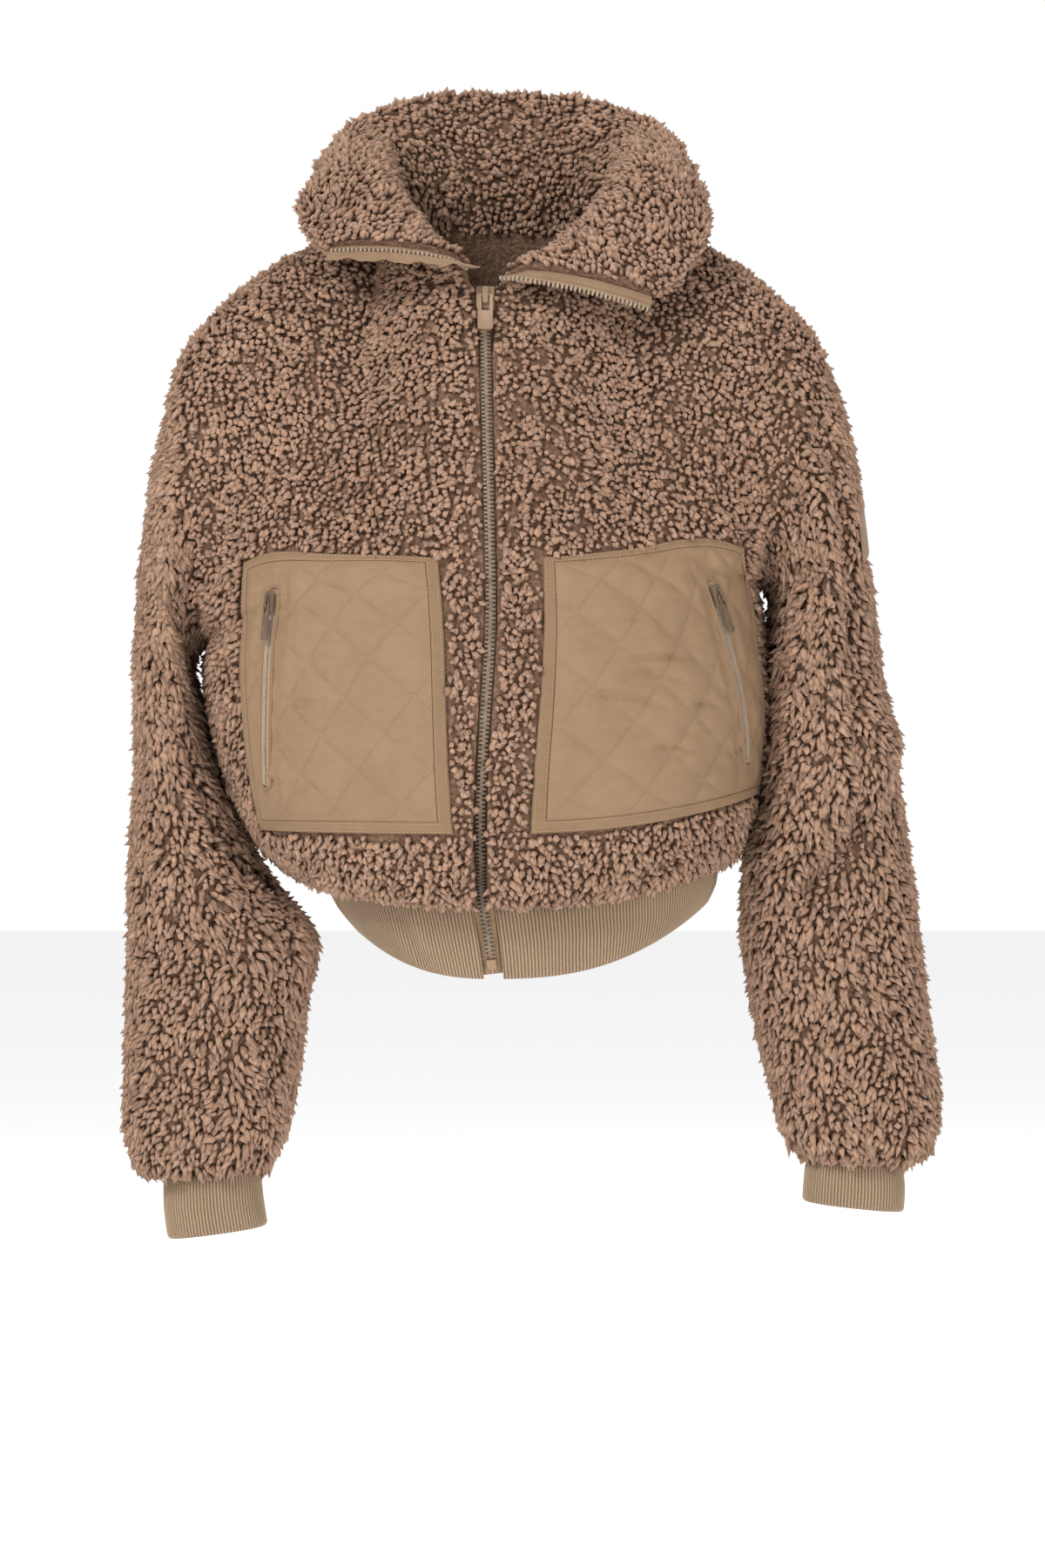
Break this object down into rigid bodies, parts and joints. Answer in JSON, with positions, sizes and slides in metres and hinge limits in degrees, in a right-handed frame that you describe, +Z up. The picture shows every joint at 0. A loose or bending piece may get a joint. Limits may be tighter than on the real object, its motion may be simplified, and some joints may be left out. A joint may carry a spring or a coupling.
{
  "type": "fleece jacket",
  "caption": "Cropped zip-front sherpa fleece jacket with a folded-open collar, quilted chest pockets, rib hem and rib cuffs, hollow as worn.",
  "frame": {"origin": "the nape, at the middle of the back neck seam, where the jacket hangs on its wearer", "axes": "+Z up, -Y the front of the jacket, +X the wearer's left"},
  "size_m": [0.5799, 0.302, 0.8328],
  "materials": {
    "sherpa_pile": "curly matt pile",
    "quilted_nylon": "soft satin woven nylon",
    "nylon_binding": "satin woven nylon",
    "rib_knit": "matt knit",
    "zip_tape": "matt woven tape",
    "zip_teeth": "moulded",
    "coated_metal": "satin coating"
  },
  "bodies": {
    "jacket": {"front_right": "sherpa_pile", "front_left": "sherpa_pile", "back": "sherpa_pile", "sleeve_right": "sherpa_pile", "sleeve_left": "sherpa_pile", "cuff_right": "rib_knit", "cuff_left": "rib_knit", "hem_rib": "rib_knit", "collar": "sherpa_pile", "pocket_binding_right": "nylon_binding", "pocket_right": "quilted_nylon", "pocket_zip_right": "zip_tape", "pocket_slider_right": "coated_metal", "pocket_binding_left": "nylon_binding", "pocket_left": "quilted_nylon", "pocket_zip_left": "zip_tape", "pocket_slider_left": "coated_metal", "zip_box": "coated_metal", "zip_slider": "coated_metal", "zip_chain": "zip_teeth", "zip_tape_right": "zip_tape", "zip_tape_left": "zip_tape", "collar_chain_right": "zip_teeth", "collar_strip_right": "quilted_nylon", "collar_tape_left": "zip_tape", "collar_chain_left": "zip_teeth", "sleeve_patch": "quilted_nylon"},
    "main_pull": {"zip_pull": "coated_metal"},
    "right_pocket_pull": {"pocket_pull_right": "coated_metal"},
    "left_pocket_pull": {"pocket_pull_left": "coated_metal"}
  },
  "joints": [
    {"name": "zip_pull_hinge", "type": "hinge", "parent": "jacket", "child": "main_pull", "pos_m": [-0.00894, -0.17265, -0.06425], "axis": [-1, -0.0022, -0.004], "range_deg": [0, 150]},
    {"name": "pocket_pull_right_hinge", "type": "hinge", "parent": "jacket", "child": "right_pocket_pull", "pos_m": [-0.15939, -0.21044, -0.2789], "axis": [-0.7472, 0.6644, -0.0121], "range_deg": [0, 150]},
    {"name": "pocket_pull_left_hinge", "type": "hinge", "parent": "jacket", "child": "left_pocket_pull", "pos_m": [0.15391, -0.20012, -0.27444], "axis": [-0.6444, -0.6721, -0.3646], "range_deg": [0, 150]}
  ]
}
